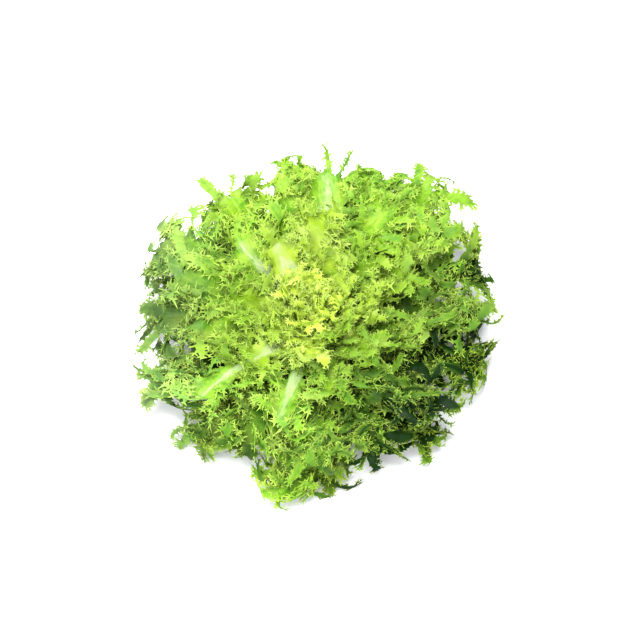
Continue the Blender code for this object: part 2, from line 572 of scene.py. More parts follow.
@dataclass(frozen=True)
class FanHabit:
    """How a small toothed fan stands on the margin of a lobe."""

    outline: tuple[Pair, ...] = (  # direction in degrees and reach of each point
        (-112, 0.20),
        (-62, 0.85),
        (-30, 0.30),
        (0, 1.15),
        (30, 0.30),
        (62, 0.85),
        (112, 0.20),
    )
    middle: float = 0.38  # of its length, where its centre lies
    domes: float = 0.12  # most that the centre lies above or below, as a share of the length
    turns: float = 0.24  # most that a point turns aside
    reaches: Pair = (0.55, 1.5)
    flares: float = 0.45  # most that a point stands up or down, as a share of its reach
    tooth: float = 0.30  # points that reach further than this are teeth
    kept: float = 0.86  # share of the places on a lobe that carry a fan
    thickness: float = 0.00015
    middle_vein: float = 0.2
    middle_rim: Pair = (0.15, 0.6)  # by itself, and as a share of the lobe's margin
    notch_rim: float = 0.45

    def grow(self, blade: Blade, base: Array, shoots: Shoots, length: Array, tone: Array) -> None:
        """Grows one fan on each pair of margin places.

        Args:
            blade: The leaf's sheet.
            base: Pairs of places, each pair along the margin.
            shoots: The shoots that stand on them.
            length: Each fan's length.
            tone: Each fan's own tone.
        """
        many, thick = len(base), self.thickness
        out = length * self.middle
        rim = line(self.middle_rim, blade.mark(base, Mark.RIM).mean(1))
        centre = shoots.spot(out, 0, length * blade.either_way(many, self.domes))
        middle = blade.add(centre, shoots.flat(out, 0), thick, thick, self.middle_vein, rim, tone)
        outline = [base[:, :1]]
        for degrees, share in self.outline:
            turn = math.radians(degrees) + blade.either_way(many, self.turns)
            reach = length * (1 - self.middle) * share * blade.rng.uniform(*self.reaches, many)
            along, across = out + reach * np.cos(turn), reach * np.sin(turn)
            spot = shoots.spot(along, across, reach * blade.either_way(many, self.flares))
            rim = 1.0 if share > self.tooth else self.notch_rim
            outline.append(blade.add(spot, shoots.flat(along, across), 0.0, 0.0, 0.0, rim, tone)[:, None])
        outline.append(base[:, 1:])
        blade.fan(middle, np.concatenate(outline, axis=1))


@dataclass(frozen=True)
class LobeHabit:
    """How a lobe grows from the web, row by row."""

    half_profile: Row = (0.60, 0.42, 0.34, 0.38, 0.45, 0.46, 0.36, 0.22)  # of half its base
    breadth: Pair = (0.75, 1.65)  # from the narrowest lobe to the broadest
    fullness: Pair = (1.90, 1.25)  # how much broader lobes are on the youngest and on the oldest leaf
    open_fullness: float = 0.75
    lowest_lift: Pair = angles(-25, -35)
    highest_lift: Pair = angles(78, 97)
    open_lift: float = math.radians(62)  # the highest lift on a leaf whose rib lies bare
    crest_lift: float = math.radians(35)  # the lowest lift of a lobe that stands on the web
    curl: Pair = angles(19, 17)  # most that a lobe turns up or down in a row
    curls: Pair = (0.3, 1.3)  # share of the curl, before the first row and gained up to the last
    bend: float = math.radians(14)
    roll: Pair = angles(18, 18)
    rolls: Pair = (0.3, 1.6)
    uneven: Pair = (0.85, 1.15)  # widths of single rows
    keel: float = 0.25  # how far a lobe is folded along its vein, as a share of its half width
    thickness: float = 0.00022
    thins: Pair = (1.3, -0.6)  # share of the thickness, at the foot and gained up to the tip
    thick_rows: Row = (0.7, 1.3, 0.7)  # at the left, the middle and the right
    more_below: float = 1.6
    vein_rows: Row = (0.0, 0.46, 0.0)
    vein_fades: Pair = (1.0, -0.7)
    rim_rows: Row = (0.32, 0.05, 0.32)
    rim_gains: Pair = (0.4, 0.9)
    fan_gains: Pair = (0.75, 0.3)
    fan_sizes: Pair = (0.45, 1.45)
    fan_sweep: Pair = angles(-5, 50)
    fan_lift: Pair = angles(62, 46)
    fan_lifts: Pair = (-0.4, 1.0)  # share of the highest lift
    end_turns: Pair = (-0.5, 0.5)  # of the two fans at a lobe's end
    end_turn_varies: float = 0.3
    end_lift: float = 0.6
    end_sizes: Pair = (0.9, 1.35)
    fans: FanHabit = FanHabit()

    def grow(
        self,
        blade: Blade,
        base: Array,
        bearing: Array,
        sweep: Array,
        length: Array,
        fan_length: Array,
        standing: bool = False,
    ) -> None:
        """Grows one lobe on each three margin places.

        Args:
            blade: The leaf's sheet.
            base: Threes of places, each three along the margin.
            bearing: The direction straight out of the margin, on the pressed leaf.
            sweep: How far each lobe turns from it, towards its third place.
            length: Each lobe's length.
            fan_length: The length of each lobe's fans.
            standing: Whether the lobes stand on the web instead of on its margin.
        """
        many, rows, rng, chart = len(base), len(self.half_profile), blade.rng, blade.chart
        corners = blade.at(base)
        across = corners[:, 2] - corners[:, 0]
        face = np.tile(np.array([0.0, 0.0, 1.0]), (many, 1))
        shoots = Shoots(corners[:, 1], across, face, blade.pressed(base[:, 1]), bearing)
        shoots.sweep(sweep)
        highest = self.open_lift if chart.is_open else blend(self.highest_lift, chart.age)
        lowest = self.crest_lift if standing else blend(self.lowest_lift, chart.age)
        shoots.lift(rng.uniform(lowest, highest, many))
        curl = blade.either_way(many) * blend(self.curl, chart.age)
        roll = blade.either_way(many) * blend(self.roll, chart.age)
        tone = rng.random(many)
        full = self.open_fullness if chart.is_open else blend(self.fullness, chart.age)
        half = np.linalg.norm(across, axis=1) / 2 * rng.uniform(*self.breadth, many) * full
        row = base
        for number, share in enumerate(self.half_profile):
            at_end = (number + 1) / rows
            shoots.lift(curl * line(self.curls, at_end))
            shoots.sweep(blade.either_way(many) * self.bend)
            shoots.roll(roll * rng.uniform(*self.rolls, many))
            shoots.grow(length / rows)
            wide = half * share * rng.uniform(*self.uneven, many)
            sides = ((-wide, wide * self.keel), (0, 0), (wide, wide * self.keel))
            spots = np.stack([shoots.spot(0, *side) for side in sides], 1)
            flats = np.stack([shoots.flat(0, side[0]) for side in sides], 1)
            vein = np.array(self.vein_rows) * line(self.vein_fades, at_end)
            rim = np.array(self.rim_rows) * line(self.rim_gains, at_end)
            thick = self.thickness * line(self.thins, at_end) * np.array(self.thick_rows)
            after = blade.add(spots, flats, thick, thick * self.more_below, vein, rim, tone[:, None])
            blade.strip(row, after)
            self.fringe(blade, (row, after), shoots, fan_length * line(self.fan_gains, at_end), tone, number)
            row = after
        for first, turn in enumerate(self.end_turns):
            pair = row[:, first : first + 2]
            middle, flat = blade.at(pair).mean(1), blade.pressed(pair).mean(1)
            tips = Shoots(middle, shoots.side, shoots.face, flat, shoots.bearing)
            tips.sweep(turn + blade.either_way(many, self.end_turn_varies))
            tips.lift(blade.either_way(many, self.end_lift))
            self.fans.grow(blade, pair, tips, fan_length * rng.uniform(*self.end_sizes, many), tone)

    def fringe(
        self,
        blade: Blade,
        rows: tuple[Array, Array],
        shoots: Shoots,
        fan_length: Array,
        tone: Array,
        number: int,
    ) -> None:
        """Grows a fan on both margins of every lobe, between two of its rows.

        Args:
            blade: The leaf's sheet.
            rows: The places of the nearer and of the further row.
            shoots: The lobes as they are turned at the further row.
            fan_length: The fans' length.
            tone: Each lobe's tone.
            number: The row's number, by which the fans turn up and down in turn.
        """
        rng, highest = blade.rng, blend(self.fan_lift, blade.chart.age)
        row, after = rows
        left, right = (row[:, 0], after[:, 0]), (after[:, -1], row[:, -1])
        for side, ends in ((1.0, left), (-1.0, right)):
            kept = rng.random(len(row)) < self.fans.kept
            many, pair = int(kept.sum()), np.stack(ends, 1)[kept]
            spots, flat = blade.at(pair), blade.pressed(pair).mean(1)
            bearing = shoots.bearing[kept] - side * math.pi / 2
            fans = Shoots(spots.mean(1), spots[:, 1] - spots[:, 0], shoots.face[kept], flat, bearing)
            fans.sweep(side * rng.uniform(*self.fan_sweep, many))
            way = 1.0 if (number + (side > 0)) % 2 else -1.0
            fans.lift(way * rng.uniform(*self.fan_lifts, many) * highest)
            size = fan_length[kept] * rng.uniform(*self.fan_sizes, many)
            self.fans.grow(blade, pair, fans, size, tone[kept])


@dataclass(frozen=True)
class VeinHabit:
    """How clearly the rib and the veins show on a web.

    Rows of four numbers run from the web's margin to the middle of the rib. Parts are shares of the
    leaf, from where something starts to come in to where it is full.
    """

    branching: Row = (0.28, 0.44, 0.72, 0.95)  # at the middle of a lobe
    between: Row = (0.02, 0.20, 0.66, 0.92)  # between two lobes
    strength: float = 0.45
    fades: float = 0.55
    fade_part: Pair = (0.45, 0.95)
    bare: Pair = (2.05, 1.20)  # a bare rib's paleness at its middle, and what it loses up to its side
    beside_bare: Pair = (0.15, 0.34)  # faintest and strongest veins beside it
    bare_fades: float = 0.7
    bare_part: Pair = (0.62, 0.88)
    pale_foot: Pair = (0.05, 0.35)  # over which a leaf stops being all rib

    def drawn(self, share: Array, across: Array, rib: Array, is_open: bool) -> Array:
        """Draws the veins of a web.

        Args:
            share: How far along the leaf each row lies, from 0 to 1.
            across: Each place's distance to the side of the midrib.
            rib: Half the rib's width in each row.
            is_open: Whether the leaf's rib lies bare.

        Returns:
            A number for each place, from 0 between the veins to 1 on the rib.
        """
        lobe_middle = np.arange(len(share))[:, None] % 2 == 1
        vein = np.where(lobe_middle, mirrored(*self.branching), mirrored(*self.between))
        fade = 1 - self.fades * smooth(*self.fade_part, share)
        vein = vein * (self.strength * fade)[:, None]
        if is_open:
            bare = self.bare[0] - self.bare[1] * np.abs(across) / rib[:, None]
            bare[:, [0, -1]] = 0.0
            vein = np.where(bare > vein, bare, np.clip(vein, *self.beside_bare))
            vein = vein * (1 - self.bare_fades * smooth(*self.bare_part, share))[:, None]
        return np.maximum(vein, 1 - smooth(*self.pale_foot, share)[:, None])


@dataclass(frozen=True)
class CrestHabit:
    """How small lobes stand on the web of an older leaf, so that it is crisped all over."""

    most: float = 17.5
    ages: Pair = (0.20, 0.65)  # over which they come in
    side_gain: float = 0.50  # share by which there are more on the dark side, and fewer away from it
    lowest_row: Pair = (0.40, -0.08)  # as a share of the rows, and what the dark side adds
    turn: float = 0.5
    near_rib: Pair = (0.5, -0.6)  # crests that turn further stand nearer to the rib
    sink: float = 0.0001
    half: float = 0.0019
    foot_marks: Pair = (0.1, 0.1)  # vein and rim
    length: Pair = (0.009, 0.017)
    varies: Pair = (0.6, 1.3)
    dark_gain: float = 0.25
    fans: Pair = (0.65, 1.05)
    sweep: Pair = (-0.3, 0.9)

    def grow(self, blade: Blade, grid: Array, lobes: LobeHabit, fan_length: float, thick: float) -> None:
        """Grows a leaf's crests.

        Args:
            blade: The leaf's sheet.
            grid: The web's places, row by row.
            lobes: How a lobe grows.
            fan_length: The length of the leaf's fans.
            thick: How thick the web is to each side of the sheet.
        """
        chart, rng, rows = blade.chart, blade.rng, len(grid)
        wanted = self.most * smooth(*self.ages, chart.age)
        many = round(float(wanted * (1 + self.side_gain * chart.facing)))
        if many == 0:
            return
        row = rng.integers(round(line(self.lowest_row, chart.dark_side) * rows), rows - 1, many)
        on_left = rng.permutation(np.arange(many) % 2) == 0
        column = np.where(on_left, rng.integers(0, 2, many), rng.integers(5, 7, many))
        turn = blade.either_way(many, self.turn)
        way = np.where(on_left, 1.0, -1.0)
        column = column + (way * (turn > line(self.near_rib, chart.dark_side))).astype(int)
        foot = blade.at(grid[row, column]) + np.array([0.0, 0.0, -self.sink])
        flat = blade.pressed(grid[row, column])
        along = np.stack([way * np.cos(turn), np.sin(turn), np.zeros(many)], 1) * self.half
        spots = np.stack([foot - along, foot, foot + along], 1)
        flats = np.stack([flat - along[:, :2], flat, flat + along[:, :2]], 1)
        base = blade.add(spots, flats, thick, thick, *self.foot_marks, rng.random((many, 1)))
        length = blend(self.length, chart.age) * rng.uniform(*self.varies, many)
        length = length * (1 + self.dark_gain * chart.dark_side)
        fan_length = fan_length * rng.uniform(*self.fans, many)
        sweep = way * rng.uniform(*self.sweep, many)
        bearing = -way * math.pi / 2 - turn
        lobes.grow(blade, base, bearing, sweep, length, fan_length, standing=True)


@dataclass(frozen=True)
class LeafHabit:
    """The shape of a leaf before it is laid in the head. Rows and parts are like its veins'."""

    seed: int = 9000
    rows: int = 41
    first_lobe_row: Pair = (8, 10)
    blade_end: Pair = (0.84, 0.92)  # of the leaf's run, where the web ends in its last lobes
    rib_half: Pair = (0.0020, 0.0046)
    stoutness: Pair = (0.6, 1.05)  # of ribs that don't lie bare
    rib_tapers: Pair = (0.20, 0.95)
    rib_tip_share: float = 0.16
    open_rib_tip_share: float = 0.80
    rib_above: Pair = (0.0003, 0.0006)
    open_above: float = 2.0
    rib_below: Pair = (0.0009, 0.0022)
    rib_fades: float = 0.6
    rib_fade_part: Pair = (0.5, 1.0)
    ribbed: Row = (0.0, 0.12, 0.70, 1.0)
    outness: Row = (1.0, 0.5, 0.12, 0.0)
    web_half: Pair = (0.0055, 0.0092)
    least_web: float = 0.0004
    web_varies: Pair = (0.8, 1.2)
    web_part: Pair = (0.16, 0.55)
    open_web_part: Pair = (0.48, 0.92)  # the same for a leaf whose rib lies bare
    open_web: float = 0.55
    web_thickness: float = 0.00030
    belly: float = 0.45  # how much wider an old leaf's web is in its middle
    belly_parts: tuple[Pair, Pair] = ((0.2, 0.4), (0.55, 0.75))  # over which it widens and narrows
    end_gain: float = 0.15
    end_part: Pair = (0.6, 1)
    dark_loss: float = 0.45  # how much narrower the web's end is on the dark side
    dark_part: Pair = (0.5, 0.8)
    cupped: float = 0.30  # how far the web's margin rises, as a share of its width
    ruffle: Pair = (0.0014, 0.0050)
    ruffle_part: Pair = (0.15, 0.5)
    ruffle_power: float = 1.4
    ruffle_turns: float = 5.0
    crinkle: Pair = (0.0003, 0.0015)  # unevenness of the web
    crinkle_part: Pair = (0.2, 0.45)
    crinkle_limit: float = 0.6
    web_rim: float = 0.12
    end_rim: float = 0.05
    tones: Pair = (0.35, 0.65)
    sweep: Pair = angles(5, 42)  # of the lobes, from the first to the last
    sweep_part: Pair = (0.25, 1.0)
    sweep_varies: float = 0.42
    end_sweep: float = math.radians(38)
    reach: float = 1.36  # of the outline that lobes grow to
    full_tip: float = 0.65  # by how much the outline is fuller than the solid's at the tip
    full_part: Pair = (0.7, 1.0)
    overshoot: float = 1.02  # of the leaf's length, at most
    feelers: tuple[float, int] = (0.045, 46)  # how far and in how many steps the outline is looked for
    shortest_lobe: Pair = (0.0055, 0.0110)
    longest_lobe: Pair = (0.017, 0.024)
    lobe_varies: Pair = (0.65, 1.25)
    full_from: float = 0.55  # of the leaf, from which lobes have their full length
    first_length: float = 0.55  # share of it that the first lobes have
    stretch: Pair = (1.0, 1.36)  # makes up for what a lobe loses by its lift and curl
    lobes_kept: float = 0.95
    fan_length: Pair = (0.0035, 0.0066)
    coarse: Pair = (0.78, 1.25)  # fans of different leaves
    finer: float = 0.20  # fans on the dark side
    finer_part: Pair = (0, 0.9)
    fan_varies: Pair = (0.8, 1.25)
    veins: VeinHabit = VeinHabit()
    crests: CrestHabit = CrestHabit()
    lobes: LobeHabit = LobeHabit()

    def grow(self, chart: LeafChart) -> Blade:
        """Grows one leaf's sheet.

        Args:
            chart: The leaf's place in the head, for its age, length and width.

        Returns:
            The sheet, in flat coordinates.
        """
        rng = np.random.default_rng(self.seed + chart.index)
        blade, age, is_open = Blade(chart, rng), chart.age, chart.is_open
        share = np.linspace(0, 1, self.rows)
        run = share * chart.length * blend(self.blade_end, age)
        stout = chart.stout if is_open else rng.uniform(*self.stoutness)
        tapers = 1 - (self.open_rib_tip_share if is_open else self.rib_tip_share)
        rib = stout * blend(self.rib_half, age) * (1 - tapers * smooth(*self.rib_tapers, share))
        web = self.web(chart, share) * rng.uniform(*self.web_varies, self.rows) + self.least_web
        right = np.stack([rib + web, rib + web * 0.5, rib], 1)
        across = np.concatenate([-right, rib[:, None] * 0, right[:, ::-1]], 1)
        outness = mirrored(*self.outness)
        phase = np.repeat(rng.uniform(0, math.tau, 2), (4, 3))
        wave = np.sin(share[:, None] * math.tau * self.ruffle_turns + phase) * outness**self.ruffle_power
        rise = wave * blend(self.ruffle, age) * smooth(*self.ruffle_part, share)[:, None]
        rise = rise + outness * web[:, None] * self.cupped
        uneven = blade.either_way(rise.shape) * np.minimum(outness, self.crinkle_limit)
        rise = rise + uneven * blend(self.crinkle, age) * smooth(*self.crinkle_part, share)[:, None]
        places = np.stack([np.repeat(run[:, None], across.shape[1], 1), across, rise], -1)

        ribbed, web_side = mirrored(*self.ribbed), self.web_thickness / 2
        fade = (1 - self.rib_fades * smooth(*self.rib_fade_part, share))[:, None]
        proud = blend(self.rib_above, age) * (self.open_above if is_open else 1.0)
        above, below = web_side + ribbed * proud * fade, web_side + ribbed * blend(self.rib_below, age) * fade
        vein = self.veins.drawn(share, across, rib, is_open)
        rim = outness * self.web_rim + self.end_rim * share[:, None]
        grid = blade.add(places, places[..., :2], above, below, vein, rim, rng.uniform(*self.tones))
        blade.strip(grid[:-1], grid[1:])
        self.fringe(blade, grid, share)
        if not is_open:
            self.crests.grow(blade, grid, self.lobes, blend(self.fan_length, age), web_side)
        return blade

    def web(self, chart: LeafChart, share: Array) -> Array:
        """How far the web reaches beside the rib.

        Args:
            chart: The leaf's place in the head.
            share: How far along the leaf each row lies, from 0 to 1.

        Returns:
            A width for each row.
        """
        widens, narrows = (smooth(*part, share) for part in self.belly_parts)
        fuller = 1 + self.belly * chart.age * (widens - narrows)
        fuller = fuller + self.end_gain * smooth(*self.end_part, share)
        part = self.open_web_part if chart.is_open else self.web_part
        web = blend(self.web_half, chart.age) * smooth(*part, share) * fuller
        dark = 1 - self.dark_loss * chart.dark_side * smooth(*self.dark_part, share)
        return web * (self.open_web if chart.is_open else 1.0) * dark

    def reach_of(self, chart: LeafChart, start: Array, bearing: Array) -> Array:
        """How far lobes grow before they pass the leaf's outline.

        Args:
            chart: The leaf's place in the head.
            start: The pressed place where each lobe starts.
            bearing: Its heading there.

        Returns:
            A length for each lobe.
        """
        steps = np.linspace(0, *self.feelers)
        run = start[:, :1] + np.cos(bearing)[:, None] * steps
        side = np.abs(start[:, 1:] + np.sin(bearing)[:, None] * steps)
        fuller = 1 + self.full_tip * smooth(*self.full_part, run / chart.length)
        inside = side < self.reach * fuller * chart.half_width(run)
        inside = inside & (run < self.overshoot * chart.length)
        return steps[np.cumprod(inside, axis=1).sum(1).astype(int) - 1]

    def fringe(self, blade: Blade, grid: Array, share: Array) -> None:
        """Grows lobes on both margins of the web and on its end.

        Args:
            blade: The leaf's sheet.
            grid: The web's places, row by row.
            share: How far along the leaf each row lies, from 0 to 1.
        """
        chart, rng = blade.chart, blade.rng
        first = 2 * round(blend(self.first_lobe_row, chart.age) / 2)
        starts = np.arange(first, self.rows - 2, 2)
        left = np.stack([grid[starts + step, 0] for step in range(3)], 1)
        right = np.stack([grid[starts + step, -1] for step in (2, 1, 0)], 1)
        end = np.stack([grid[-1, step : step + 3] for step in (0, 2, 4)])
        base = np.concatenate([left, right, end])
        many = len(base)
        turn = blend(self.sweep, smooth(*self.sweep_part, share[starts + 1]))
        sweep = np.concatenate([turn, -turn, self.end_sweep * np.array([-1.0, 0.0, 1.0])])
        sweep = sweep + blade.either_way(many, self.sweep_varies)
        bearing = np.repeat(np.array([-1.0, 1.0, 0.0]) * math.pi / 2, (len(starts), len(starts), 3))
        wanted = self.reach_of(chart, blade.pressed(base[:, 1]), bearing + sweep)
        wanted = np.clip(wanted, blend(self.shortest_lobe, chart.age), blend(self.longest_lobe, chart.age))
        length = wanted * rng.uniform(*self.lobe_varies, many)
        nearness = smooth(share[first], self.full_from, blade.at(base[:, 1])[:, 0] / chart.length)
        length = length * blend((self.first_length, 1.0), nearness) * blend(self.stretch, chart.age)
        coarse = rng.uniform(*self.coarse) * (1 - self.finer * smooth(*self.finer_part, chart.facing))
        fan_length = coarse * blend(self.fan_length, chart.age) * rng.uniform(*self.fan_varies, many)
        kept = rng.random(many) < self.lobes_kept
        self.lobes.grow(blade, base[kept], bearing[kept], sweep[kept], length[kept], fan_length[kept])


# ---------------------------------------------------------------- finishes


class Nodes:
    """The nodes of one material or node group. A value is a socket, a number or a colour."""

    def __init__(self, tree: Tree) -> None:
        """Takes over a node tree."""
        self.tree = tree

    def put(self, value: object, socket: Socket) -> None:
        """Links a socket to an input, or sets a number or a colour on it.

        Args:
            value: What the input gets, or None to leave it as it is.
            socket: The input.
        """
        if isinstance(value, Socket):
            self.tree.links.new(value, socket)
        elif isinstance(value, tuple):
            socket.default_value = (*value, 1.0)
        elif value is not None:
            socket.default_value = value

    def add(self, kind: str, given: dict[str, object], **settings: object) -> bpy.types.Node:
        """Adds a node.

        Args:
            kind: Its type.
            given: The values of some of its inputs.
            settings: Its properties.

        Returns:
            The node.
        """
        node = self.tree.nodes.new(kind)
        for label, value in settings.items():
            setattr(node, label, value)
        for label, value in given.items():
            self.put(value, node.inputs[label])
        return node

    def maths(self, operation: str, *values: object) -> Socket:
        """Adds a Math node.

        Args:
            operation: The node's operation.
            values: Its inputs.

        Returns:
            Its result.
        """
        node = self.add("ShaderNodeMath", {}, operation=operation)
        for value, socket in zip(values, node.inputs):
            self.put(value, socket)
        return node.outputs[0]

    def times(self, first: object, second: object) -> Socket:
        """The product of two values."""
        return self.maths("MULTIPLY", first, second)

    def line(self, value: object, gain: object, start: object) -> Socket:
        """A value times its gain, on top of a start."""
        return self.maths("MULTIPLY_ADD", value, gain, start)

    def mix(self, share: object, first: object, second: object, way: str = "MIX") -> Socket:
        """Mixes two colours.

        Args:
            share: How much of the second colour.
            first: The first colour.
            second: The second colour.
            way: The way of mixing.

        Returns:
            The mixed colour.
        """
        node = self.add("ShaderNodeMix", {}, data_type="RGBA", blend_type=way, clamp_factor=True)
        for value, socket in zip((share, first, second), [s for s in node.inputs if s.enabled]):
            self.put(value, socket)
        return next(s for s in node.outputs if s.enabled)

    def mark(self, name: str) -> Socket:
        """Reads a number that the mesh keeps for each vertex."""
        return self.add("ShaderNodeAttribute", {}, attribute_name=name).outputs["Fac"]

    def noise(self, scale: float, detail: float = 3.0, roughness: float = 0.55) -> Socket:
        """Adds a noise in the object's own metres.

        Args:
            scale: How fine it is.
            detail: How many finer noises lie on it.
            roughness: How strong those are.

        Returns:
            A number from 0 to 1.
        """
        place = self.add("ShaderNodeTexCoord", {}).outputs["Object"]
        given = {"Scale": scale, "Detail": detail, "Roughness": roughness, "Vector": place}
        return self.add("ShaderNodeTexNoise", given).outputs["Fac"]

    def step(self, value: Socket, ends: Pair) -> Socket:
        """A smooth step, from 0 at the first end to 1 at the second."""
        given = {"From Min": ends[0], "From Max": ends[1], "Value": value}
        return self.add("ShaderNodeMapRange", given, interpolation_type="SMOOTHSTEP").outputs["Result"]

    def relief(self, height: Socket, strength: float, distance: float) -> Socket:
        """The normal of a surface with a bump."""
        given = {"Strength": strength, "Distance": distance, "Height": height}
        return self.add("ShaderNodeBump", given).outputs["Normal"]


@dataclass(frozen=True)
class LeafTissue:
    """How the tissue of every leaf is coloured, with painted shade and a painted sheen laid over it.

    Parts are the values over which something comes in. Most other pairs are a gain and a start.
    """

    patch_scale: float = 55.0
    patches: Pair = (2.6, -0.97)
    lobe_tone: float = 0.85
    mottle_scale: Pair = (170.0, 2.0)  # and its detail, like the pale patches'
    mottle: float = 3.0
    bright_from: float = 0.26
    streak_scales: tuple[tuple[str, str, float], ...] = (
        ("flat_run", "X", 150.0),
        ("flat_side", "Y", 480.0),
        ("tone", "Z", 40.0),
    )
    streak_detail: float = 2.0
    streak_part: Pair = (0.42, 0.60)
    streak_amount: float = 0.16
    pale_scale: Pair = (42.0, 1.0)
    pale_part: Pair = (0.50, 0.70)
    pale_amount: float = 0.34
    rim_power: float = 1.4
    under_amount: float = 0.45
    vein_amount: float = 0.50
    crisp_part: Pair = (0.50, 0.80)  # values of a vein over which it becomes a rib
    fibres: Pair = (-0.30, 0.32)
    # Painted sheen: a pale, bluish cast laid over the tissue towards -X, and how strong it is.
    painted_sheen: Colour = (0.52, 0.66, 0.48)
    painted_sheen_amount: float = 0.18
    # Painted shade: its near-black colour, how much less of it the tooth tips get, and how it varies with a
    # lobe's tone.
    shade: Colour = (0.005, 0.024, 0.002)
    away_from_rim: Pair = (-0.96, 1.0)
    uneven_shade: Pair = (-0.60, 1.45)
    roughness: Pair = (0.22, 0.42)
    under_roughness: float = 0.12
    streak_height: float = 0.5
    grain: Pair = (330.0, 0.6)  # its scale and its height

    def group(self) -> Tree:
        """Makes the node group that the leaves of every whorl share.

        Returns:
            The group, which gives the tissue's colour with its painted shade and sheen, its roughness and
            relief.
        """
        group = bpy.data.node_groups.new("leaf_tissue", "ShaderNodeTree")
        colour, number = "NodeSocketColor", "NodeSocketFloat"
        tints = dict.fromkeys(("Deep", "Bright", "Rim", "Rib", "Underside"), colour)
        amounts = dict.fromkeys(("Rim Amount", "Rib Amount", "Mottle"), number)
        results = {"Colour": colour, "Roughness": number, "Height": number}
        for way, sockets in (("INPUT", tints | amounts), ("OUTPUT", results)):
            for label, kind in sockets.items():
                group.interface.new_socket(name=label, in_out=way, socket_type=kind)
        nodes = Nodes(group)
        given = nodes.add("NodeGroupInput", {}).outputs
        vein, rim, tone, under, painted_sheen, painted_shade = (
            nodes.mark(name) for name in ("vein", "rim", "tone", "under", "painted_sheen", "painted_shade")
        )
        patches, streaks = nodes.noise(self.patch_scale), self.streaks(nodes)

        bright = nodes.line(tone, self.lobe_tone, nodes.line(patches, *self.patches))
        mottle = nodes.maths("SUBTRACT", nodes.noise(*self.mottle_scale), 0.5)
        bright = nodes.line(mottle, nodes.times(given["Mottle"], self.mottle), bright)
        bright = nodes.maths("SUBTRACT", bright, self.bright_from)
        pale = nodes.step(nodes.noise(*self.pale_scale), self.pale_part)
        edge = nodes.maths("POWER", rim, self.rim_power)
        blade = nodes.mix(bright, given["Deep"], given["Bright"])
        for layer, amount, tint in (
            (streaks, self.streak_amount, "Rim"),
            (pale, self.pale_amount, "Rim"),
            # The tooth tips' paler colour, partly a painted highlight.
            (edge, given["Rim Amount"], "Rim"),
            (under, self.under_amount, "Underside"),
            (nodes.step(vein, (0.0, 1.0)), self.vein_amount, "Rib"),
        ):
            blade = nodes.mix(nodes.times(layer, amount), blade, given[tint])
        rib = nodes.mix(nodes.line(streaks, *self.fibres), given["Rib"], given["Bright"])
        crisp = nodes.step(nodes.line(streaks, self.streak_amount, vein), self.crisp_part)
        blade = nodes.mix(nodes.times(crisp, given["Rib Amount"]), blade, rib)
        # Painted sheen towards -X.
        blade = nodes.mix(nodes.times(painted_sheen, self.painted_sheen_amount), blade, self.painted_sheen)
        # Painted shade: darker where the head is in shade, less so at the tooth tips.
        shade = nodes.times(painted_shade, nodes.line(tone, *self.uneven_shade))
        shade = nodes.times(shade, nodes.line(edge, *self.away_from_rim))
        rough = nodes.line(under, self.under_roughness, nodes.line(patches, *self.roughness))
        grain = nodes.times(nodes.noise(self.grain[0]), self.grain[1])
        height = nodes.line(streaks, self.streak_height, grain)
        made = {"Colour": nodes.mix(shade, blade, self.shade), "Roughness": rough, "Height": height}
        nodes.add("NodeGroupOutput", made)
        return group

    def streaks(self, nodes: Nodes) -> Socket:
        """Draws fine pale streaks that run along the leaf, in the directions of the pressed leaf.

        Args:
            nodes: The group's nodes.

        Returns:
            A number from 0 to 1.
        """
        place = {axis: nodes.times(nodes.mark(name), scale) for name, axis, scale in self.streak_scales}
        at = nodes.add("ShaderNodeCombineXYZ", place).outputs["Vector"]
        given = {"Scale": 1.0, "Detail": self.streak_detail, "Vector": at}
        return nodes.step(nodes.add("ShaderNodeTexNoise", given).outputs["Fac"], self.streak_part)


@dataclass(frozen=True)
class LeafTints:
    """The colours of a leaf of one age."""

    deep: Colour
    bright: Colour
    # Paler tooth tips: the margin's own paler colour, whitened further as a painted highlight.
    rim: Colour
    rib: Colour
    underside: Colour


# Where one whorl ends, the next begins: each stop is the youngest leaf of its whorl.
TINT_STOPS = (
    LeafTints(
        (0.77, 0.80, 0.006), (0.74, 0.88, 0.18), (0.81, 0.91, 0.54), (0.84, 0.89, 0.64), (0.72, 0.83, 0.20)
    ),
    LeafTints(
        (0.58, 0.72, 0.002), (0.72, 0.87, 0.06), (0.84, 0.95, 0.42), (0.80, 0.86, 0.56), (0.60, 0.74, 0.09)
    ),
    LeafTints(
        (0.085, 0.30, 0.001), (0.25, 0.48, 0.006), (0.64, 0.80, 0.15), (0.60, 0.70, 0.38), (0.25, 0.42, 0.05)
    ),
    LeafTints(
        (0.030, 0.19, 0.001), (0.20, 0.49, 0.008), (0.66, 0.85, 0.15), (0.50, 0.70, 0.28), (0.17, 0.45, 0.04)
    ),
    LeafTints(
        (0.010, 0.075, 0.001), (0.135, 0.43, 0.004), (0.72, 0.9, 0.1), (0.34, 0.56, 0.13), (0.09, 0.31, 0.02)
    ),
)


def new_material(name: str) -> tuple[Material, Nodes, bpy.types.Node]:
    """Starts a material.

    Args:
        name: Its name.

    Returns:
        The material, its nodes and its Principled node.
    """
    made = bpy.data.materials.new(name)
    made.use_nodes = True
    return made, Nodes(made.node_tree), made.node_tree.nodes["Principled BSDF"]


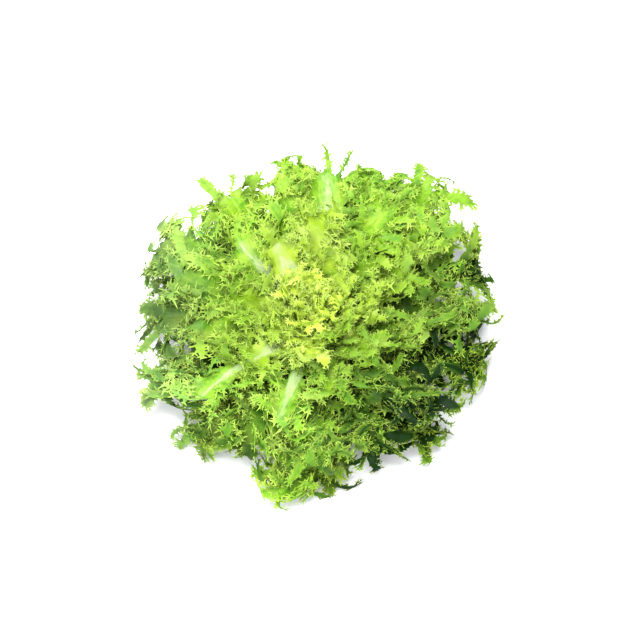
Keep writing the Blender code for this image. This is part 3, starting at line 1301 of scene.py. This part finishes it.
@dataclass(frozen=True)
class LeafFinish:
    """The look of one whorl's leaves, from the tints of its youngest leaf to those of its oldest."""

    young: LeafTints
    old: LeafTints
    see_through: float
    gloss: float
    mottle: float
    rim_amount: float = 0.9
    rib_amount: float = 0.95
    glow: Colour = (0.97, 1.0, 0.18)
    relief: Pair = (0.35, 0.0006)  # strength and depth

    def material(self, name: str, tissue: Tree) -> Material:
        """Makes the material.

        Args:
            name: Its name.
            tissue: The leaf tissue group.

        Returns:
            A glossy skin over tissue that lets some light through.
        """
        made, nodes, skin = new_material(name)
        # The mix from young to old tints also carries painted shade: leaves on the dark side take older,
        # darker tints.
        elder_and_painted_shade = nodes.mark("elder_and_painted_shade")
        given = {"Rim Amount": self.rim_amount, "Rib Amount": self.rib_amount, "Mottle": self.mottle}
        for label in ("Deep", "Bright", "Rim", "Rib", "Underside"):
            young, old = (getattr(tints, label.lower()) for tints in (self.young, self.old))
            given[label] = nodes.mix(elder_and_painted_shade, young, old)
        colour, roughness, height = nodes.add("ShaderNodeGroup", given, node_tree=tissue).outputs
        nodes.put(colour, skin.inputs["Base Color"])
        nodes.put(roughness, skin.inputs["Roughness"])
        nodes.put(nodes.relief(height, *self.relief), skin.inputs["Normal"])
        nodes.put(self.gloss, skin.inputs["Specular IOR Level"])
        glowing = nodes.mix(1.0, colour, self.glow, "MULTIPLY")
        through = nodes.add("ShaderNodeBsdfTranslucent", {"Color": glowing})
        both = nodes.add("ShaderNodeMixShader", {"Fac": self.see_through})
        nodes.put(skin.outputs["BSDF"], both.inputs[1])
        nodes.put(through.outputs["BSDF"], both.inputs[2])
        nodes.put(both.outputs["Shader"], made.node_tree.nodes["Material Output"].inputs["Surface"])
        return made


LEAF_FINISHES = {
    Whorl.HEART: LeafFinish(TINT_STOPS[0], TINT_STOPS[1], 0.48, 0.09, 0.0),
    Whorl.INNER: LeafFinish(TINT_STOPS[1], TINT_STOPS[2], 0.42, 0.10, 0.3),
    Whorl.MIDDLE: LeafFinish(TINT_STOPS[2], TINT_STOPS[3], 0.28, 0.12, 0.8),
    Whorl.OUTER: LeafFinish(TINT_STOPS[3], TINT_STOPS[4], 0.15, 0.06, 1.0),
}


@dataclass(frozen=True)
class CrownFinish:
    """Moist cream tissue, with a browned ring and fibres on the cut face."""

    flesh: Colour = (0.80, 0.76, 0.52)
    stain: Colour = (0.36, 0.20, 0.08)
    blotches: Row = (260.0, 5.0, 0.7)  # scale, detail and roughness
    stain_amount: float = 1.7
    fibres: Pair = (900.0, 2.0)  # scale and detail, like the grain's
    fibre_amount: float = 0.22
    roughness: Pair = (0.25, 0.4)  # what the fibres add, and without them
    grain: Pair = (600.0, 4.0)
    relief: Pair = (0.5, 0.0005)  # strength and depth

    def material(self, name: str) -> Material:
        """Makes the material.

        Args:
            name: Its name.

        Returns:
            The crown's material.
        """
        made, nodes, skin = new_material(name)
        stained = nodes.times(nodes.mark("stain"), nodes.noise(*self.blotches))
        colour = nodes.mix(nodes.times(stained, self.stain_amount), self.flesh, self.stain)
        fibres = nodes.noise(*self.fibres)
        colour = nodes.mix(nodes.times(fibres, self.fibre_amount), colour, self.stain)
        nodes.put(colour, skin.inputs["Base Color"])
        nodes.put(nodes.line(fibres, *self.roughness), skin.inputs["Roughness"])
        nodes.put(nodes.relief(nodes.noise(*self.grain), *self.relief), skin.inputs["Normal"])
        return made


# ---------------------------------------------------------------- pieces

SHARP_FROM = math.radians(70)  # the least angle between two faces that makes their edge sharp


def make_piece(
    name: str, points: Array, faces: list[Array], material: Material, marks: dict[str, Array]
) -> bpy.types.Object:
    """Makes a mesh object.

    Args:
        name: The piece's name.
        points: Its vertices.
        faces: Arrays of faces, each array with one number of corners.
        material: What it is made of.
        marks: Numbers to keep for each vertex, by name.

    Returns:
        The object, linked to the scene, smooth but for its sharp edges.
    """
    mesh = bpy.data.meshes.new(name)
    mesh.from_pydata(points.tolist(), [], [face for array in faces for face in array.tolist()])
    for label, values in marks.items():
        kept = mesh.attributes.new(label, "FLOAT", "POINT")
        kept.data.foreach_set("value", np.asarray(values, np.float32))
    mesh.materials.append(material)
    mesh.shade_smooth()
    mesh.set_sharp_from_angle(angle=SHARP_FROM)
    piece = bpy.data.objects.new(name, mesh)
    bpy.context.collection.objects.link(piece)
    return piece


def triangles_in(faces: list[Array]) -> int:
    """How many triangles some arrays of faces have."""
    return sum(len(array) * (array.shape[1] - 2) for array in faces)


@dataclass
class Leaves:
    """The spiral of leaves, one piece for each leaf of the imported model."""

    law: GrowthLaw = GrowthLaw()
    habit: LeafHabit = LeafHabit()
    painted_sheen_side: Pair = (0.45, 1.0)  # share of the dome's radius towards -X, over which a painted pale sheen comes in
    ripe_share: float = 0.8  # how far along a leaf it has the colours of its age; below, it is paler
    ripens: float = 1.1
    ripe_varies: float = 0.50
    painted_shade_ripening: float = 0.30  # how much older, darker tints leaves on the dark side get, as painted shade
    # Away from the dark side, leaves get younger and paler tints as painted light, down to no less than this
    # facing.
    least_side: float = -0.65

    def build(self) -> int:
        """Grows every leaf and dresses it.

        Returns:
            How many triangles all the leaves have.
        """
        tissue = LeafTissue().group()
        index = total = 0
        for whorl, many in LEAVES_IN_WHORL.items():
            material = LEAF_FINISHES[whorl].material(f"{whorl.value}_tissue", tissue)
            for number in range(1, many + 1):
                total += self.build_leaf(whorl, number, LeafChart(self.law, index), material)
                index += 1
        return total

    def build_leaf(self, whorl: Whorl, number: int, chart: LeafChart, material: Material) -> int:
        """Grows one leaf in place of its solid.

        Args:
            whorl: The whorl it belongs to.
            number: Its place in its whorl.
            chart: The surface that it follows.
            material: Its whorl's material.

        Returns:
            How many triangles it has.
        """
        node = f"{whorl.value}_{number:02d}"
        points, seen, faces = self.habit.grow(chart).closed()
        labels = ("vein", "rim", "tone", "flat_run", "flat_side", "under")
        marks = dict(zip(labels, seen.T[Mark.VEIN.value :]))
        # Painted shade on the dark side of the head and inside it; a bare rib gets none.
        dark = np.zeros(len(points)) if chart.is_open else self.law.shade(points, chart.age)
        marks["painted_shade"] = dark
        # Painted sheen: paler towards -X.
        marks["painted_sheen"] = smooth(*self.painted_sheen_side, -points[:, 0] / self.law.dome_radius)
        ripening = marks["flat_run"] / chart.length - self.ripe_share
        # A leaf's place in its whorl, varied at random, plus older, darker tints on the dark side as painted
        # shade, and paler tints towards the crown.
        ripe_and_painted_shade = (number - 0.5) / LEAVES_IN_WHORL[whorl] + self.ripe_varies * chart.bends[2]
        ripe_and_painted_shade = ripe_and_painted_shade + self.painted_shade_ripening * max(chart.facing, self.least_side)
        marks["elder_and_painted_shade"] = np.clip(ripe_and_painted_shade + self.ripens * ripening, 0, 1)
        piece = make_piece(f"{node}_frilled", points, faces, material, marks)
        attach(piece, "root")
        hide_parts(node)
        triangles = triangles_in(faces)
        log.info("%s: %d triangles, %.0f mm long", piece.name, triangles, chart.length * 1000)
        return triangles


@dataclass
class Crown:
    """The stub of stem that carries the leaves, cut flat below."""

    law: GrowthLaw = GrowthLaw()
    cut_radius: float = 0.0165
    skin_gap: float = 0.0014
    segments: int = 72
    rings: int = 26
    cut_rings: Row = (0.25, 0.5, 0.68, 0.84, 0.95, 1.0)
    foot_rings: Row = (0.4, 0.75, 1.0)
    foot_height: float = 0.004
    scars: int = 13  # round the stub
    scar_twist: float = 1200.0  # how steeply they wind up it, in radians per metre
    scar_depth: float = 0.020
    scars_from: float = 0.002
    ring: Pair = (0.72, 0.16)  # place and width of the browned ring, as shares of the cut's radius
    ring_stain: Pair = (0.35, 0.65)  # stain of the whole cut face, and what the ring adds
    side_stain: float = 0.25
    cut_height: float = 0.003  # what lies lower has the cut face's stain
    end_stains: Pair = (0.3, 0.2)  # of the lowest and of the highest point

    def profile(self) -> Array:
        """The stub's outline, from the middle of its cut face up to its tip.

        Returns:
            A radius and a height for each ring.
        """
        neck = self.law.seat_radius[1] - self.skin_gap
        side = [self.law.seat(age) - (self.skin_gap, 0) for age in np.linspace(1, 0, self.rings)]
        cut = [(self.cut_radius * share, 0.0) for share in self.cut_rings]
        foot = [(blend((self.cut_radius, neck), at), self.foot_height * at) for at in self.foot_rings]
        return np.concatenate([cut, foot, side])

    def build(self) -> int:
        """Turns the crown's profile round the axis, with the scars of its leaves.

        Returns:
            How many triangles it has.
        """
        profile = self.profile()
        out, up = profile[:, :1], profile[:, 1:]
        turn = np.linspace(0, math.tau, self.segments, endpoint=False)
        scars = 1 - self.scar_depth * np.sin(self.scars * turn[None] + self.scar_twist * up) ** 2
        radius = out * np.where(up > self.scars_from, scars, 1.0)
        height = np.broadcast_to(up, radius.shape)
        rows = np.stack([radius * np.cos(turn), radius * np.sin(turn), height], -1)
        points = np.concatenate([rows.reshape(-1, 3), [[0, 0, 0.0], [0, 0, up[-1, 0]]]])
        points = self.law.leaned(points)
        number = np.arange(rows.shape[0] * self.segments).reshape(rows.shape[:2])
        after = np.roll(number, -1, axis=1)
        quads = np.stack([number[:-1], after[:-1], after[1:], number[1:]], -1).reshape(-1, 4)
        low, high = len(points) - 2, len(points) - 1
        bottom = np.stack([np.full(self.segments, low), after[0], number[0]], 1)
        top = np.stack([np.full(self.segments, high), number[-1], after[-1]], 1)
        ring = np.exp(-(((out / self.cut_radius - self.ring[0]) / self.ring[1]) ** 2))
        stain = np.where(up < self.cut_height, line(self.ring_stain, ring), self.side_stain)
        stain = np.concatenate([np.repeat(stain, self.segments), self.end_stains])
        faces = [quads, bottom, top]
        material = CrownFinish().material("crown_flesh")
        piece = make_piece("crown_stub", points, faces, material, {"stain": stain})
        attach(piece, "root")
        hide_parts("crown")
        log.info("%s: %d triangles", piece.name, triangles_in(faces))
        return triangles_in(faces)


# ---------------------------------------------------------------- studio


@dataclass(frozen=True)
class Lamp:
    """A soft square light that shines at the head."""

    name: str
    place: Row
    size: float
    watts: float
    colour: Colour
    aim: Row = (0, 0, 0.05)

    def hang(self) -> None:
        """Hangs the light."""
        data = bpy.data.lights.new(self.name, "AREA")
        data.shape, data.size, data.energy, data.color = "SQUARE", self.size, self.watts, self.colour
        light = bpy.data.objects.new(self.name, data)
        light.location = self.place
        towards = Vector(self.aim) - Vector(self.place)
        light.rotation_euler = towards.to_track_quat("-Z", "Y").to_euler()
        bpy.context.collection.objects.link(light)


@dataclass
class Studio:
    """A plain pale table in soft daylight, and the camera."""

    elevation: float = math.radians(60)
    distance: float = 1.23
    lens: float = 85.0
    aim: Row = (0.002, -0.006, 0.058)
    lamps: tuple[Lamp, ...] = (
        Lamp("key", (-0.08, -0.26, 1.45), 0.5, 34.0, (1.0, 1.0, 0.97)),
        Lamp("fill", (-0.5, -1.1, 1.3), 1.0, 18.0, (1.0, 1.0, 1.0)),
    )
    sky_colour: Colour = (0.97, 0.98, 1.0)
    sky_strength: float = 0.72
    table_edge: float = 3.0
    table_colour: Colour = (0.93, 0.94, 0.96)
    table_shade: Colour = (0.86, 0.87, 0.90)
    shade_scale: float = 6.0
    shade_amount: float = 0.04
    table_roughness: float = 0.6
    table_gloss: float = 0.2

    def build(self) -> None:
        """Sets up the table, the lights and the camera."""
        self.build_table()
        for lamp in self.lamps:
            lamp.hang()
        self.build_sky()
        self.build_camera()
        bpy.context.scene.view_settings.view_transform = "Standard"

    def build_table(self) -> None:
        """Makes the table."""
        edge = self.table_edge
        points = np.array([[-edge, -edge, 0], [edge, -edge, 0], [edge, edge, 0], [-edge, edge, 0]])
        material, nodes, skin = new_material("table")
        share = nodes.times(nodes.noise(self.shade_scale), self.shade_amount)
        nodes.put(nodes.mix(share, self.table_colour, self.table_shade), skin.inputs["Base Color"])
        nodes.put(self.table_roughness, skin.inputs["Roughness"])
        nodes.put(self.table_gloss, skin.inputs["Specular IOR Level"])
        table = make_piece("table", points, [np.array([[0, 1, 2, 3]])], material, {})

    def build_sky(self) -> None:
        """Lights the room evenly."""
        world = bpy.data.worlds.new("room")
        bpy.context.scene.world = world
        world.use_nodes = True
        sky = world.node_tree.nodes["Background"]
        sky.inputs["Color"].default_value = (*self.sky_colour, 1.0)
        sky.inputs["Strength"].default_value = self.sky_strength

    def build_camera(self) -> None:
        """Sets up the camera."""
        data = bpy.data.cameras.new("camera")
        data.lens = self.lens
        camera = bpy.data.objects.new("camera", data)
        away = Vector((0, -math.cos(self.elevation), math.sin(self.elevation)))
        camera.location = Vector(self.aim) + away * self.distance
        camera.rotation_euler = (-away).to_track_quat("-Z", "Y").to_euler()
        bpy.context.collection.objects.link(camera)
        bpy.context.scene.camera = camera


def main() -> None:
    """Builds the head and its studio, and logs how many triangles the head has."""
    logging.basicConfig(level=logging.INFO, format="%(message)s")
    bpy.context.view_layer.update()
    Studio().build()
    total = Crown().build() + Leaves().build()
    log.info("all pieces: %d triangles", total)


if __name__ == "__main__":
    main()
